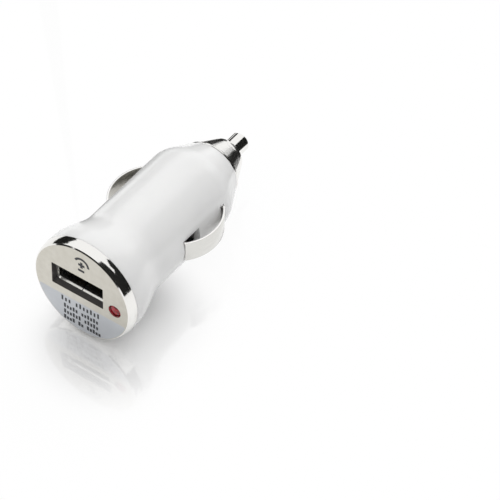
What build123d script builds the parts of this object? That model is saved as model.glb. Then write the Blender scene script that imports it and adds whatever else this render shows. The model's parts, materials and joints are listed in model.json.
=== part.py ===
from build123d import *
from math import atan2, degrees, hypot, sqrt, tan
import os

# A USB charger plug for a car's 12 V socket, lying on its side.
# The plug's axis is Y: the USB face lies at Y = 0 and looks along -Y, the nose points along +Y.
# X is to the right as one faces the USB opening, Z is up. All sizes are millimetres.

# Outside, from the face to the tip
CAP_BAND = 2.45
SEAM_STEP = 0.03
FACE_TAPER = 0.45
FLANGE_RIM = 3.65
FLARE_RUN = 6.5
FLARE_EASE = 2.2
WAIST_R = 10.15
BARREL_LENGTH = 25.7
SHOULDER_R = 10.4
SHOULDER_EASE = 1.85
CONE_LENGTH = 6.9
NOSE_R = 7.05
RING_LENGTH = 6.65
RING_TIP_R = 3.85
PIN_REACH = 5.65
PIN_R = 2.3
PIN_DOME = 1.25

# Walls and fits
WALL = 1.5
FIT_GAP = 0.05
RUNNING_GAP = 0.15

# Cap with the face
PLATE_T = 2.0
SKIRT_DEPTH = 4.0
SKIRT_WALL = 0.6
LAMP_ROOM = 0.25
FACE_BEVEL = 0.25
LABEL_TOP_Z = -3.45
LABEL_MARGIN = 0.35
LABEL_T = 0.1
LABEL_CORNER = 0.4

# USB receptacle, type A
USB_W = 12.5
USB_H = 5.12
USB_WALL = 0.3
USB_BEND = 0.9
USB_LENGTH = 13.0
USB_RECESS = 1.6
USB_CENTRE_X = -1.05
USB_CENTRE_Z = 1.45
USB_SEAM = 0.2
MOUTH_FLARE = 0.22
MOUTH_DEPTH = 0.4
OPENING_GAP_X = 0.05
OPENING_GAP_Z = 0.02
OPENING_CORNER = 0.2
TONGUE_W = 11.1
TONGUE_T = 1.84
TONGUE_ABOVE = 0.6
TONGUE_SETBACK = 2.2
TONGUE_BLOCK = 2.0
TONGUE_BEVEL = 0.3
CONTACT_W = 1.0
CONTACT_T = 0.2
CONTACT_SETBACK = 1.0
CONTACT_SIGNAL_SETBACK = 1.0
CONTACT_INNER_PITCH = 2.0
CONTACT_OUTER_PITCH = 7.0
LEG_W = 1.4
LEG_FROM_FRONT = 3.7
LEG_BELOW = 0.6

# Lamp
LED_R = 1.5
LED_COLLAR = 0.15
LED_COLLAR_T = 0.8
LED_LENGTH = 3.95
LED_DOME = 0.6
LED_SUNK = 0.05
LED_GAP = 0.05
LED_BRIDGE = 1.4
LED_BELOW_PORT = 1.7
LED_PITCH = 1.8
LED_LEAD = 0.5
LED_LEAD_RUN = 1.4
LED_LEAD_BELOW = 0.5

# Circuit board
BOARD_T = 1.2
BOARD_SIDE_GAP = 0.8
BOARD_WIDE_LENGTH = 13.1
EAR_GAP = 0.3
EAR_SIDE = 1.0
TAIL_W = 10.4
RAIL_W = 1.3
RAIL_T = 1.2

# Side clips and their slots
CLIP_T = 0.4
CLIP_W = 5.1
CLIP_BOW = 2.7
CLIP_SPAN = 14.0
CLIP_HOOK = 1.65
CLIP_FROM_WAIST = 9.4
SLOT_SIDE_GAP = 0.2
SLOT_FREE_LENGTH = 5.4
SLOT_ROOT_LENGTH = 1.35
SLOT_END_GAP = 0.17

# Nose ring, centre pin and spring
SPIGOT_R = 4.35
SPIGOT_LENGTH = 3.2
SPIGOT_END_GAP = 0.4
RING_WALL = 1.2
RING_GROOVE = 0.2
RING_BASE = 0.2
RING_BEVEL = 0.35
RING_LIP = 1.5
RING_LIP_ROUND = 0.9
RIDGES = 10
RIDGE_DEPTH = 0.05
PIN_FLANGE_STEP = 0.75
PIN_FLANGE_T = 1.2
PIN_TAIL_R = 1.2
PIN_TAIL = 2.0
SPRING_LENGTH = 9.6
SPRING_WIRE = 0.5
SPRING_WIRE_SIDES = 6
SPRING_TURNS = 4
SEAT_T = 0.4
SEAT_FOOT = 3.2
SEAT_FOOT_W = 3.0

# Parts on the board
CHIP_L = 4.9
CHIP_W = 3.9
CHIP_H = 1.4
CHIP_STANDOFF = 0.15
CHIP_PITCH = 1.27
CHIP_LEG_W = 0.4
CHIP_LEG_T = 0.2
CHIP_LEG_REACH = 1.05
CHIP_FROM_USB = 7.0
DIODE_L = 4.3
DIODE_W = 2.6
DIODE_H = 2.1
DIODE_DRAFT = 0.3
DIODE_FROM_CHIP = 5.6
RESISTOR_L = 2.0
RESISTOR_W = 1.25
RESISTOR_H = 0.5
RESISTOR_PITCH_X = 4.6
RESISTOR_PITCH_Y = 2.2
RESISTOR_FROM_DIODE = 4.1
CERAMIC_L = 3.2
CERAMIC_W = 1.6
CERAMIC_H = 1.2
CERAMIC_PITCH = 6.4
CERAMIC_FROM_USB = 2.4
COIL_R = 3.4
COIL_H = 5.0
COIL_FLANGE = 0.8
COIL_WAIST_R = 1.6
COIL_MARGIN = 0.35
COIL_FROM_USB = 4.4
POCKET_ROOM = 0.44
CAN_R = 2.5
CAN_L = 11.0
CAN_BEAD = 0.25
CAN_PITCH = 5.5
CAN_FROM_WIDE = 2.5
CAN_LEAD = 0.5
CAN_LEAD_PITCH = 2.0
CAN_LEAD_BEND = 0.8
CAN_LEAD_RUN = 1.4

# Stations along the axis
seam_y = CAP_BAND
flare_top_y = seam_y + FLANGE_RIM
waist_y = flare_top_y + FLARE_RUN
shoulder_y = waist_y + BARREL_LENGTH
nose_y = shoulder_y + CONE_LENGTH
ring_tip_y = nose_y + RING_LENGTH
pin_tip_y = ring_tip_y + PIN_REACH
step_y = seam_y + SKIRT_DEPTH
pin_seat_y = ring_tip_y - RING_WALL
spring_front_y = pin_seat_y - PIN_FLANGE_T
seat_front_y = spring_front_y - SPRING_LENGTH
board_end_y = seat_front_y - SEAT_T
spigot_end_y = nose_y + SPIGOT_LENGTH

# Receptacle, opening and board levels
shell_w = USB_W + 2 * USB_WALL
shell_h = USB_H + 2 * USB_WALL
opening_w = shell_w + 2 * OPENING_GAP_X
opening_h = shell_h + 2 * OPENING_GAP_Z
usb_back_y = USB_RECESS + USB_LENGTH
tongue_top_z = USB_CENTRE_Z + USB_H / 2 - TONGUE_ABOVE
tongue_z = tongue_top_z - TONGUE_T
board_top_z = USB_CENTRE_Z - shell_h / 2
board_z = board_top_z - BOARD_T
wide_end_y = step_y + BOARD_WIDE_LENGTH
led_x = USB_CENTRE_X + opening_w / 2 + LED_BRIDGE + LED_R + LED_GAP
led_z = USB_CENTRE_Z - LED_BELOW_PORT
led_base_y = LED_SUNK + LED_LENGTH
ear_y = led_base_y + EAR_GAP
ear_w = 2 * led_x + LED_PITCH + EAR_SIDE

# Radii: the lamp sets the cap's skirt and so the flange, the coil or the receptacle's corner sets the pocket
skirt_inner_r = led_x + LED_R + LED_COLLAR + LAMP_ROOM
skirt_r = skirt_inner_r + SKIRT_WALL
skirt_bore_r = skirt_r + FIT_GAP
flange_r = skirt_bore_r + WALL
face_r = flange_r - FACE_TAPER
coil_low_z = board_z - COIL_H
coil_reach = hypot(COIL_R, coil_low_z)
bend_x = abs(USB_CENTRE_X) + shell_w / 2 - USB_BEND
bend_z = USB_CENTRE_Z + shell_h / 2 - USB_BEND
pocket_r = max(coil_reach, hypot(bend_x, bend_z) + USB_BEND) + POCKET_ROOM
cavity_r = WAIST_R - WALL
board_w = 2 * (sqrt(cavity_r**2 - board_z**2) - BOARD_SIDE_GAP)
pin_flange_r = PIN_R + PIN_FLANGE_STEP
pin_bore_r = pin_flange_r + RUNNING_GAP
pin_hole_r = PIN_R + RUNNING_GAP

# Clip stations: the hook lies flat under the round inner wall
clip_free_y = waist_y + CLIP_FROM_WAIST
clip_root_y = clip_free_y + CLIP_SPAN
clip_shoulder_x = WAIST_R + RUNNING_GAP
clip_peak_x = WAIST_R + CLIP_BOW + RUNNING_GAP
slot_w = CLIP_W + 2 * SLOT_SIDE_GAP
clip_hook_x = sqrt(cavity_r**2 - (slot_w / 2) ** 2) - RUNNING_GAP

# Places of the parts on the board
chip_y = usb_back_y + CHIP_FROM_USB
diode_y = chip_y + DIODE_FROM_CHIP
resistor_y = diode_y + RESISTOR_FROM_DIODE
ceramic_y = usb_back_y + CERAMIC_FROM_USB
coil_y = usb_back_y - COIL_FROM_USB
can_y = wide_end_y + CAN_FROM_WIDE

os.makedirs("parts", exist_ok=True)


def finish(part, name):
    part.label = name
    export_step(part, f"parts/{name}.step")


# Body shell: one white moulding from the flange to the threaded nose
flare_turn = atan2(flange_r - WAIST_R, FLARE_RUN)
barrel_turn = atan2(SHOULDER_R - WAIST_R, BARREL_LENGTH)
cone_turn = atan2(SHOULDER_R - NOSE_R, CONE_LENGTH)
flare_round = FLARE_EASE / tan(flare_turn / 2)
waist_round = FLARE_EASE / tan((flare_turn + barrel_turn) / 2)
shoulder_round = SHOULDER_EASE / tan((cone_turn + barrel_turn) / 2)

with BuildPart() as body_shell:
    with BuildSketch(Plane.XY):
        with BuildLine():
            outside = FilletPolyline(
                (flange_r, seam_y),
                (flange_r, flare_top_y),
                (WAIST_R, waist_y),
                (SHOULDER_R, shoulder_y),
                (NOSE_R, nose_y),
                radius=[flare_round, waist_round, shoulder_round],
            )
            Polyline(
                outside @ 1,
                (SPIGOT_R, nose_y),
                (SPIGOT_R, spigot_end_y),
                (pin_bore_r, spigot_end_y),
                (pin_bore_r, nose_y - WALL),
                (cavity_r, shoulder_y - WALL),
                (cavity_r, wide_end_y),
                (pocket_r, usb_back_y),
                (pocket_r, step_y),
                (skirt_bore_r, step_y),
                (skirt_bore_r, seam_y),
                outside @ 0,
            )
        make_face()
    revolve(axis=Axis.Y)
    # Rails inside that carry the board's long edges
    with BuildSketch(Plane.XZ.offset(-step_y)):
        with Locations(((board_w / 2 + cavity_r) / 2, board_z), (-(board_w / 2 + cavity_r) / 2, board_z)):
            Rectangle(RAIL_W + cavity_r - board_w / 2, RAIL_T, align=(Align.CENTER, Align.MAX))
    extrude(amount=-BOARD_WIDE_LENGTH)
    # Through-slots of the two side clips
    with BuildSketch(Plane.XY):
        with Locations((0, clip_free_y - SLOT_END_GAP)):
            Rectangle(4 * WAIST_R, SLOT_FREE_LENGTH, align=(Align.CENTER, Align.MIN))
        with Locations((0, clip_root_y + SLOT_END_GAP)):
            Rectangle(4 * WAIST_R, SLOT_ROOT_LENGTH, align=(Align.CENTER, Align.MAX))
    extrude(amount=slot_w / 2, both=True, mode=Mode.SUBTRACT)
finish(body_shell.part, "body_shell")

# End cap: plated face with the USB opening, the lamp's hole and a shallow seat for the label
label_r = face_r - LABEL_MARGIN


def label_outline():
    with BuildSketch(Plane.XZ) as outline:
        Circle(label_r)
        with Locations((0, LABEL_TOP_Z)):
            Rectangle(4 * label_r, 4 * label_r, align=(Align.CENTER, Align.MIN), mode=Mode.SUBTRACT)
        fillet(outline.vertices(), LABEL_CORNER)
    return outline.sketch


with BuildPart() as end_cap:
    with BuildSketch(Plane.XY):
        with BuildLine():
            Polyline(
                (0, 0),
                (face_r, 0),
                (flange_r - SEAM_STEP, seam_y),
                (skirt_r, seam_y),
                (skirt_r, step_y - FIT_GAP),
                (skirt_inner_r, step_y - FIT_GAP),
                (skirt_inner_r, PLATE_T),
                (0, PLATE_T),
                close=True,
            )
        make_face()
    revolve(axis=Axis.Y)
    chamfer(end_cap.edges().group_by(Axis.Y)[0], FACE_BEVEL)
    with BuildSketch(Plane.XZ):
        with Locations((USB_CENTRE_X, USB_CENTRE_Z)):
            RectangleRounded(opening_w, opening_h, OPENING_CORNER)
        with Locations((led_x, led_z)):
            Circle(LED_R + LED_GAP)
    extrude(amount=-PLATE_T, mode=Mode.SUBTRACT)
    extrude(label_outline(), amount=-LABEL_T, mode=Mode.SUBTRACT)
finish(end_cap.part, "end_cap")

# Rating label: a sticker flush with the face
with BuildPart() as rating_label:
    extrude(label_outline(), amount=-LABEL_T)
finish(rating_label.part, "rating_label")

# Receptacle shell: folded strip with a flared mouth, its seam at the bottom and two legs through the board
leg_y = USB_RECESS + LEG_FROM_FRONT
with BuildPart() as usb_shell:
    with BuildSketch(Plane.XZ.offset(-USB_RECESS)):
        with Locations((USB_CENTRE_X, USB_CENTRE_Z)):
            RectangleRounded(shell_w, shell_h, USB_BEND)
            RectangleRounded(USB_W, USB_H, USB_BEND - USB_WALL, mode=Mode.SUBTRACT)
        with Locations((USB_CENTRE_X, board_top_z)):
            Rectangle(USB_SEAM, 2 * USB_WALL, mode=Mode.SUBTRACT)
    extrude(amount=-USB_LENGTH)
    with BuildSketch(Plane.XZ.offset(-USB_RECESS)):
        with Locations((USB_CENTRE_X, USB_CENTRE_Z)):
            mouth_corner = USB_BEND - USB_WALL + MOUTH_FLARE
            RectangleRounded(USB_W + 2 * MOUTH_FLARE, USB_H + 2 * MOUTH_FLARE, mouth_corner)
    extrude(amount=-MOUTH_DEPTH, taper=degrees(atan2(MOUTH_FLARE, MOUTH_DEPTH)), mode=Mode.SUBTRACT)
    with BuildSketch(Plane.XY.offset(USB_CENTRE_Z)):
        with Locations((USB_CENTRE_X, leg_y)):
            with GridLocations(shell_w - USB_WALL, 0, 2, 1):
                Rectangle(USB_WALL, LEG_W)
    extrude(amount=-(USB_CENTRE_Z - board_z + LEG_BELOW))
finish(usb_shell.part, "usb_shell")

# Insulator: a rear block that fills the shell and a tongue near the top
contact_grid = [
    (USB_CENTRE_X - CONTACT_OUTER_PITCH / 2, CONTACT_SETBACK),
    (USB_CENTRE_X - CONTACT_INNER_PITCH / 2, CONTACT_SETBACK + CONTACT_SIGNAL_SETBACK),
    (USB_CENTRE_X + CONTACT_INNER_PITCH / 2, CONTACT_SETBACK + CONTACT_SIGNAL_SETBACK),
    (USB_CENTRE_X + CONTACT_OUTER_PITCH / 2, CONTACT_SETBACK),
]
tongue_tip_y = USB_RECESS + TONGUE_SETBACK
with BuildPart() as usb_tongue:
    with BuildSketch(Plane.XZ.offset(-usb_back_y)):
        with Locations((USB_CENTRE_X, USB_CENTRE_Z)):
            RectangleRounded(USB_W, USB_H, USB_BEND - USB_WALL)
    extrude(amount=TONGUE_BLOCK)
    with BuildSketch(Plane.XZ.offset(-usb_back_y)):
        with Locations((USB_CENTRE_X, tongue_z)):
            Rectangle(TONGUE_W, TONGUE_T, align=(Align.CENTER, Align.MIN))
    extrude(amount=usb_back_y - tongue_tip_y)
    nose_edges = usb_tongue.faces().sort_by(Axis.Y)[0].edges()
    chamfer(nose_edges, TONGUE_BEVEL)
    with BuildSketch(Plane.XZ.offset(-usb_back_y)):
        for x, setback in contact_grid:
            with Locations((x, tongue_z)):
                Rectangle(CONTACT_W, CONTACT_T, align=(Align.CENTER, Align.MAX))
    extrude(amount=TONGUE_BLOCK, mode=Mode.SUBTRACT)
finish(usb_tongue.part, "usb_tongue")

# Contacts: flat strips under the tongue that turn down behind the block into the board
with BuildPart() as usb_contacts:
    for x, setback in contact_grid:
        with BuildSketch(Plane.YZ.offset(x)):
            with BuildLine():
                Polyline(
                    (tongue_tip_y + setback, tongue_z),
                    (usb_back_y + CONTACT_T, tongue_z),
                    (usb_back_y + CONTACT_T, board_z - LEG_BELOW),
                    (usb_back_y, board_z - LEG_BELOW),
                    (usb_back_y, tongue_z - CONTACT_T),
                    (tongue_tip_y + setback, tongue_z - CONTACT_T),
                    close=True,
                )
            make_face()
        extrude(amount=CONTACT_W / 2, both=True)
finish(usb_contacts.part, "usb_contacts")

# Lamp: domed lens with a collar at its base, and two wires that turn down into the board
with BuildPart() as led_lens:
    with BuildSketch(Plane.XY.offset(led_z)):
        with BuildLine():
            lens_r = (LED_R**2 + LED_DOME**2) / (2 * LED_DOME)
            dome = RadiusArc((led_x, LED_SUNK), (led_x + LED_R, LED_SUNK + LED_DOME), -lens_r)
            Polyline(
                dome @ 1,
                (led_x + LED_R, led_base_y - LED_COLLAR_T),
                (led_x + LED_R + LED_COLLAR, led_base_y - LED_COLLAR_T),
                (led_x + LED_R + LED_COLLAR, led_base_y),
                (led_x, led_base_y),
                dome @ 0,
            )
        make_face()
    revolve(axis=Axis((led_x, 0, led_z), (0, 1, 0)))
finish(led_lens.part, "led_lens")

lead_turn_y = led_base_y + LED_LEAD_RUN
lead_sides = (led_x - LED_PITCH / 2, led_x + LED_PITCH / 2)
with BuildPart() as led_leads:
    for x in lead_sides:
        with BuildSketch(Plane.YZ.offset(x)):
            with BuildLine():
                Polyline(
                    (led_base_y, led_z + LED_LEAD / 2),
                    (lead_turn_y, led_z + LED_LEAD / 2),
                    (lead_turn_y, board_z - LED_LEAD_BELOW),
                    (lead_turn_y - LED_LEAD, board_z - LED_LEAD_BELOW),
                    (lead_turn_y - LED_LEAD, led_z - LED_LEAD / 2),
                    (led_base_y, led_z - LED_LEAD / 2),
                    close=True,
                )
            make_face()
        extrude(amount=LED_LEAD / 2, both=True)
finish(led_leads.part, "led_leads")

# Circuit board: ears at the front stop on the body's step, a narrow tail clears the clips
with BuildPart() as circuit_board:
    with BuildSketch(Plane.XY.offset(board_z)):
        with Locations((0, step_y)):
            Rectangle(ear_w, step_y - ear_y, align=(Align.CENTER, Align.MAX))
            Rectangle(board_w, BOARD_WIDE_LENGTH, align=(Align.CENTER, Align.MIN))
        with Locations((0, wide_end_y)):
            Rectangle(TAIL_W, board_end_y - wide_end_y, align=(Align.CENTER, Align.MIN))
        with Locations((USB_CENTRE_X, leg_y)):
            with GridLocations(shell_w - USB_WALL, 0, 2, 1):
                Rectangle(USB_WALL + 2 * RUNNING_GAP, LEG_W + 2 * RUNNING_GAP, mode=Mode.SUBTRACT)
        for x, setback in contact_grid:
            with Locations((x, usb_back_y + CONTACT_T / 2)):
                Rectangle(CONTACT_W + 2 * RUNNING_GAP, CONTACT_T + 2 * RUNNING_GAP, mode=Mode.SUBTRACT)
        for x in lead_sides:
            with Locations((x, lead_turn_y - LED_LEAD / 2)):
                Rectangle(LED_LEAD + 2 * FIT_GAP, LED_LEAD + 2 * FIT_GAP, mode=Mode.SUBTRACT)
    extrude(amount=BOARD_T)
finish(circuit_board.part, "circuit_board")

# Converter chip and its eight bent legs
chip_bottom_z = board_top_z + CHIP_STANDOFF
with BuildPart() as regulator_chip:
    with BuildSketch(Plane.XY.offset(chip_bottom_z)):
        with Locations((0, chip_y)):
            Rectangle(CHIP_W, CHIP_L)
    extrude(amount=CHIP_H)
finish(regulator_chip.part, "regulator_chip")

with BuildPart() as chip_pins:
    leg_z = chip_bottom_z + CHIP_H / 2
    leg_x = CHIP_W / 2
    knee_x = leg_x + CHIP_LEG_REACH / 2
    with BuildSketch(Plane.XZ.offset(-chip_y)) as one_leg:
        with BuildLine():
            Polyline(
                (leg_x, leg_z),
                (knee_x, leg_z),
                (knee_x, board_top_z + CHIP_LEG_T),
                (leg_x + CHIP_LEG_REACH, board_top_z + CHIP_LEG_T),
                (leg_x + CHIP_LEG_REACH, board_top_z),
                (knee_x - CHIP_LEG_T, board_top_z),
                (knee_x - CHIP_LEG_T, leg_z - CHIP_LEG_T),
                (leg_x, leg_z - CHIP_LEG_T),
                close=True,
            )
        make_face()
        mirror(about=Plane.YZ)
    for row in range(4):
        leg_shift = (row - 1.5) * CHIP_PITCH
        with Locations((0, leg_shift, 0)):
            add(extrude(one_leg.sketch, amount=CHIP_LEG_W / 2, both=True, mode=Mode.PRIVATE))
finish(chip_pins.part, "chip_pins")

# Diode in a drafted moulded case
with BuildPart() as flyback_diode:
    with BuildSketch(Plane.XY.offset(board_top_z)):
        with Locations((0, diode_y)):
            Rectangle(DIODE_L, DIODE_W)
    with BuildSketch(Plane.XY.offset(board_top_z + DIODE_H)):
        with Locations((0, diode_y)):
            Rectangle(DIODE_L - 2 * DIODE_DRAFT, DIODE_W - 2 * DIODE_DRAFT)
    loft()
finish(flyback_diode.part, "flyback_diode")

# Small chip parts soldered flat on the board
with BuildPart() as chip_resistors:
    with BuildSketch(Plane.XY.offset(board_top_z)):
        with Locations((0, resistor_y)):
            with GridLocations(RESISTOR_PITCH_X, RESISTOR_PITCH_Y, 2, 2):
                Rectangle(RESISTOR_L, RESISTOR_W)
    extrude(amount=RESISTOR_H)
finish(chip_resistors.part, "chip_resistors")

with BuildPart() as chip_capacitors:
    with BuildSketch(Plane.XY.offset(board_top_z)):
        with Locations((0, ceramic_y)):
            with GridLocations(CERAMIC_PITCH, 0, 2, 1):
                Rectangle(CERAMIC_L, CERAMIC_W)
    extrude(amount=CERAMIC_H)
finish(chip_capacitors.part, "chip_capacitors")

# Storage coil under the board: a drum core and its winding
coil_axis = Axis((0, coil_y, 0), (0, 0, 1))
with BuildPart() as inductor_core:
    with BuildSketch(Plane.YZ):
        with BuildLine():
            Polyline(
                (coil_y, board_z),
                (coil_y + COIL_R, board_z),
                (coil_y + COIL_R, board_z - COIL_FLANGE),
                (coil_y + COIL_WAIST_R, board_z - COIL_FLANGE),
                (coil_y + COIL_WAIST_R, coil_low_z + COIL_FLANGE),
                (coil_y + COIL_R, coil_low_z + COIL_FLANGE),
                (coil_y + COIL_R, coil_low_z),
                (coil_y, coil_low_z),
                close=True,
            )
        make_face()
    revolve(axis=coil_axis)
finish(inductor_core.part, "inductor_core")

with BuildPart() as inductor_winding:
    with BuildSketch(Plane.XY.offset(board_z - COIL_FLANGE)):
        with Locations((0, coil_y)):
            Circle(COIL_R - COIL_MARGIN)
            Circle(COIL_WAIST_R, mode=Mode.SUBTRACT)
    extrude(amount=-(COIL_H - 2 * COIL_FLANGE))
finish(inductor_winding.part, "inductor_winding")

# Electrolytic cans that lie side by side under the board's tail
can_z = board_z - CAN_R
can_end_y = can_y + CAN_L


def capacitor_can(x, name):
    with BuildPart() as can:
        with BuildSketch(Plane.XZ.offset(-can_y)):
            with Locations((x, can_z)):
                Circle(CAN_R)
        extrude(amount=-CAN_L)
        chamfer(can.edges().filter_by(GeomType.CIRCLE), CAN_BEAD)
    finish(can.part, name)


capacitor_can(-CAN_PITCH / 2, "input_capacitor")
capacitor_can(CAN_PITCH / 2, "output_capacitor")

with BuildPart() as capacitor_leads:
    for side in (-1, 1):
        for wire in (-1, 1):
            lead_x = side * CAN_PITCH / 2 + wire * CAN_LEAD_PITCH / 2
            with BuildSketch(Plane.YZ.offset(lead_x)):
                with BuildLine():
                    Polyline(
                        (can_end_y, can_z - CAN_LEAD / 2),
                        (can_end_y + CAN_LEAD_RUN, can_z - CAN_LEAD / 2),
                        (can_end_y + CAN_LEAD_RUN, board_z),
                        (can_end_y + CAN_LEAD_RUN - CAN_LEAD, board_z),
                        (can_end_y + CAN_LEAD_RUN - CAN_LEAD, can_z + CAN_LEAD / 2),
                        (can_end_y, can_z + CAN_LEAD / 2),
                        close=True,
                    )
                make_face()
            extrude(amount=CAN_LEAD / 2, both=True)
    bends = capacitor_leads.edges().filter_by(Axis.X).group_by(Axis.Z)[0].group_by(Axis.Y)[-1]
    fillet(bends, CAN_LEAD_BEND)
finish(capacitor_leads.part, "capacitor_leads")

# Spring seat: a brass angle soldered on the board's end
with BuildPart() as spring_seat:
    with BuildSketch(Plane.XZ.offset(-board_end_y)):
        Circle(pin_flange_r)
    extrude(amount=-SEAT_T)
    with BuildSketch(Plane.XY.offset(board_top_z)):
        with Locations((0, board_end_y + SEAT_T)):
            Rectangle(SEAT_FOOT_W, SEAT_FOOT + SEAT_T, align=(Align.CENTER, Align.MAX))
    extrude(amount=SEAT_T)
finish(spring_seat.part, "spring_seat")

# Contact spring between the seat and the pin's flange
coil_mean_r = pin_flange_r - SPRING_WIRE
spring_height = SPRING_LENGTH - SPRING_WIRE
with BuildPart() as contact_spring:
    with BuildLine() as spring_path:
        Helix(
            pitch=spring_height / SPRING_TURNS,
            height=spring_height,
            radius=coil_mean_r,
            center=(0, seat_front_y + SPRING_WIRE / 2, 0),
            direction=(0, 1, 0),
        )
    with BuildSketch(Plane(origin=spring_path.line @ 0, z_dir=spring_path.line % 0)):
        RegularPolygon(SPRING_WIRE / 2, SPRING_WIRE_SIDES)
    sweep(is_frenet=True)
finish(contact_spring.part, "contact_spring")

# Centre pin: domed shank, flange that stops inside the ring, tail that centres the spring
with BuildPart() as centre_pin:
    with BuildSketch(Plane.XY):
        with BuildLine():
            dome_r = (PIN_R**2 + PIN_DOME**2) / (2 * PIN_DOME)
            tip = RadiusArc((PIN_R, pin_tip_y - PIN_DOME), (0, pin_tip_y), -dome_r)
            Polyline(
                tip @ 1,
                (0, spring_front_y - PIN_TAIL),
                (PIN_TAIL_R, spring_front_y - PIN_TAIL),
                (PIN_TAIL_R, spring_front_y),
                (pin_flange_r, spring_front_y),
                (pin_flange_r, pin_seat_y),
                (PIN_R, pin_seat_y),
                tip @ 0,
            )
        make_face()
    revolve(axis=Axis.Y)
finish(centre_pin.part, "centre_pin")

# Nose ring: grooved base, ridged cone and rounded lip, screwed over the spigot; its end wall guides the pin
bevel_y = nose_y + RING_GROOVE + RING_BASE
bevel_end_y = bevel_y + RING_BEVEL
bevel_end_r = NOSE_R - RING_BEVEL
lip_y = ring_tip_y - RING_LIP
ridge_pitch = (lip_y - bevel_end_y) / RIDGES
ridge_slope = (bevel_end_r - RING_TIP_R) / (ring_tip_y - bevel_end_y)
ridge_points = []
for ridge in range(RIDGES):
    crest_y = bevel_end_y + ridge * ridge_pitch
    crest_r = bevel_end_r - ridge * ridge_pitch * ridge_slope
    root_r = crest_r - 0.5 * ridge_pitch * ridge_slope - RIDGE_DEPTH
    ridge_points += [(crest_r, crest_y), (root_r, crest_y + ridge_pitch / 2)]
with BuildPart() as nose_ring:
    with BuildSketch(Plane.XY):
        with BuildLine():
            Polyline(
                (NOSE_R - RING_GROOVE, nose_y),
                (NOSE_R, nose_y + RING_GROOVE),
                (NOSE_R, bevel_y),
                *ridge_points,
                (RING_TIP_R + RING_LIP * ridge_slope, lip_y),
                (RING_TIP_R, ring_tip_y),
                (pin_hole_r, ring_tip_y),
                (pin_hole_r, pin_seat_y),
                (pin_bore_r, pin_seat_y),
                (pin_bore_r, spigot_end_y + SPIGOT_END_GAP),
                (SPIGOT_R + FIT_GAP, spigot_end_y + SPIGOT_END_GAP),
                (SPIGOT_R + FIT_GAP, nose_y),
                close=True,
            )
        make_face()
    revolve(axis=Axis.Y)
    lip_edge = nose_ring.edges().filter_by(GeomType.CIRCLE).group_by(Axis.Y)[-1].sort_by(SortBy.RADIUS)[-1]
    fillet(lip_edge, RING_LIP_ROUND)
finish(nose_ring.part, "nose_ring")

# Side clips: bowed strips, hooked under the wall at the free end and at the root
with BuildPart() as side_clip_right:
    with BuildSketch(Plane.XY):
        with BuildLine() as strip:
            hook = Polyline(
                (clip_hook_x, clip_free_y - CLIP_HOOK),
                (clip_hook_x, clip_free_y),
                (clip_shoulder_x, clip_free_y),
            )
            bow = ThreePointArc(
                hook @ 1,
                (clip_peak_x, (clip_free_y + clip_root_y) / 2),
                (clip_shoulder_x, clip_root_y),
            )
            Polyline(
                bow @ 1,
                (clip_hook_x - CLIP_T, clip_root_y),
                (clip_hook_x - CLIP_T, clip_root_y - CLIP_HOOK),
            )
            offset(amount=CLIP_T, side=Side.RIGHT)
        make_face()
    extrude(amount=CLIP_W / 2, both=True)
finish(side_clip_right.part, "side_clip_right")

with BuildPart() as side_clip_left:
    mirror(side_clip_right.part, about=Plane.YZ)
finish(side_clip_left.part, "side_clip_left")
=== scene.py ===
# %% [markdown]
# # A USB charger plug for a car socket
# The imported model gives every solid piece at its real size, in metres, with the USB face at Y = 0 and
# the nose pointing along +Y. This lesson gives each piece the surface of the real one, adds the print
# on the face, lays the plug on a glossy table and places the camera.

import json
import math

import bpy
from mathutils import Matrix, Vector

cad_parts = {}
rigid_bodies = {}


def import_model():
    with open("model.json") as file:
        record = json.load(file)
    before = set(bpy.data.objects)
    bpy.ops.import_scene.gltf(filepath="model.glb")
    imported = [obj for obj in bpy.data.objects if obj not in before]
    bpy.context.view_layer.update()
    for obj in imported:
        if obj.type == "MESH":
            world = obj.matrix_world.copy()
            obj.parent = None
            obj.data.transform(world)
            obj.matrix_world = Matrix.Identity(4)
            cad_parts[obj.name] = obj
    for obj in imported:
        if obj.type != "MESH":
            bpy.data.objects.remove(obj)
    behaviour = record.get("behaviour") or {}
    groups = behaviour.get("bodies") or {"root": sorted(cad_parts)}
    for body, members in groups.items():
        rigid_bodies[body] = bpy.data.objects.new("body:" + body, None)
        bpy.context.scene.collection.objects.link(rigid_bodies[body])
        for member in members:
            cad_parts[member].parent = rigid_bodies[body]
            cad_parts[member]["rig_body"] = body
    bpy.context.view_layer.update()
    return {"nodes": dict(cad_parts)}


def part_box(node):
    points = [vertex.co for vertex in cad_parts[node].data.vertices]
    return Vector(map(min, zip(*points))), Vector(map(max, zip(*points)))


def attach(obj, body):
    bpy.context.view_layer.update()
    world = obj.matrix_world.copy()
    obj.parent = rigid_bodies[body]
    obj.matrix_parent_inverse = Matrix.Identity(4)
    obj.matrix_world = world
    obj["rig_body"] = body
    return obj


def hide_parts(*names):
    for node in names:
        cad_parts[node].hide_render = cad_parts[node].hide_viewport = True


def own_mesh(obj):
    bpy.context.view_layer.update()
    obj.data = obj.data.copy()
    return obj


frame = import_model()
nodes = frame["nodes"]
MM = 0.001
print("pieces from the model:", len(nodes))

# %% [markdown]
# ## Helpers for every material
# Colours are picked as sRGB hex values, as on a screen, but a shader works with linear light, so one
# function turns a hex value into linear numbers. A second one adds a node, sets it and links it, so that
# each material below reads as a short list of its own nodes. The third starts a material, and the fourth
# gives it to a piece. A Mix node has one set of sockets for numbers and another for colours, which only
# their places tell apart, so those places get names here.

# %% Colour and node helpers
FACTOR, NUMBER_A, NUMBER_B, COLOUR_A, COLOUR_B = 0, 2, 3, 6, 7
MIXED_COLOUR = 2


def linear(code):
    channels = [int(code[i:i + 2], 16) / 255 for i in (1, 3, 5)]
    return [c / 12.92 if c <= 0.04045 else ((c + 0.055) / 1.055) ** 2.4 for c in channels] + [1.0]


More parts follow.
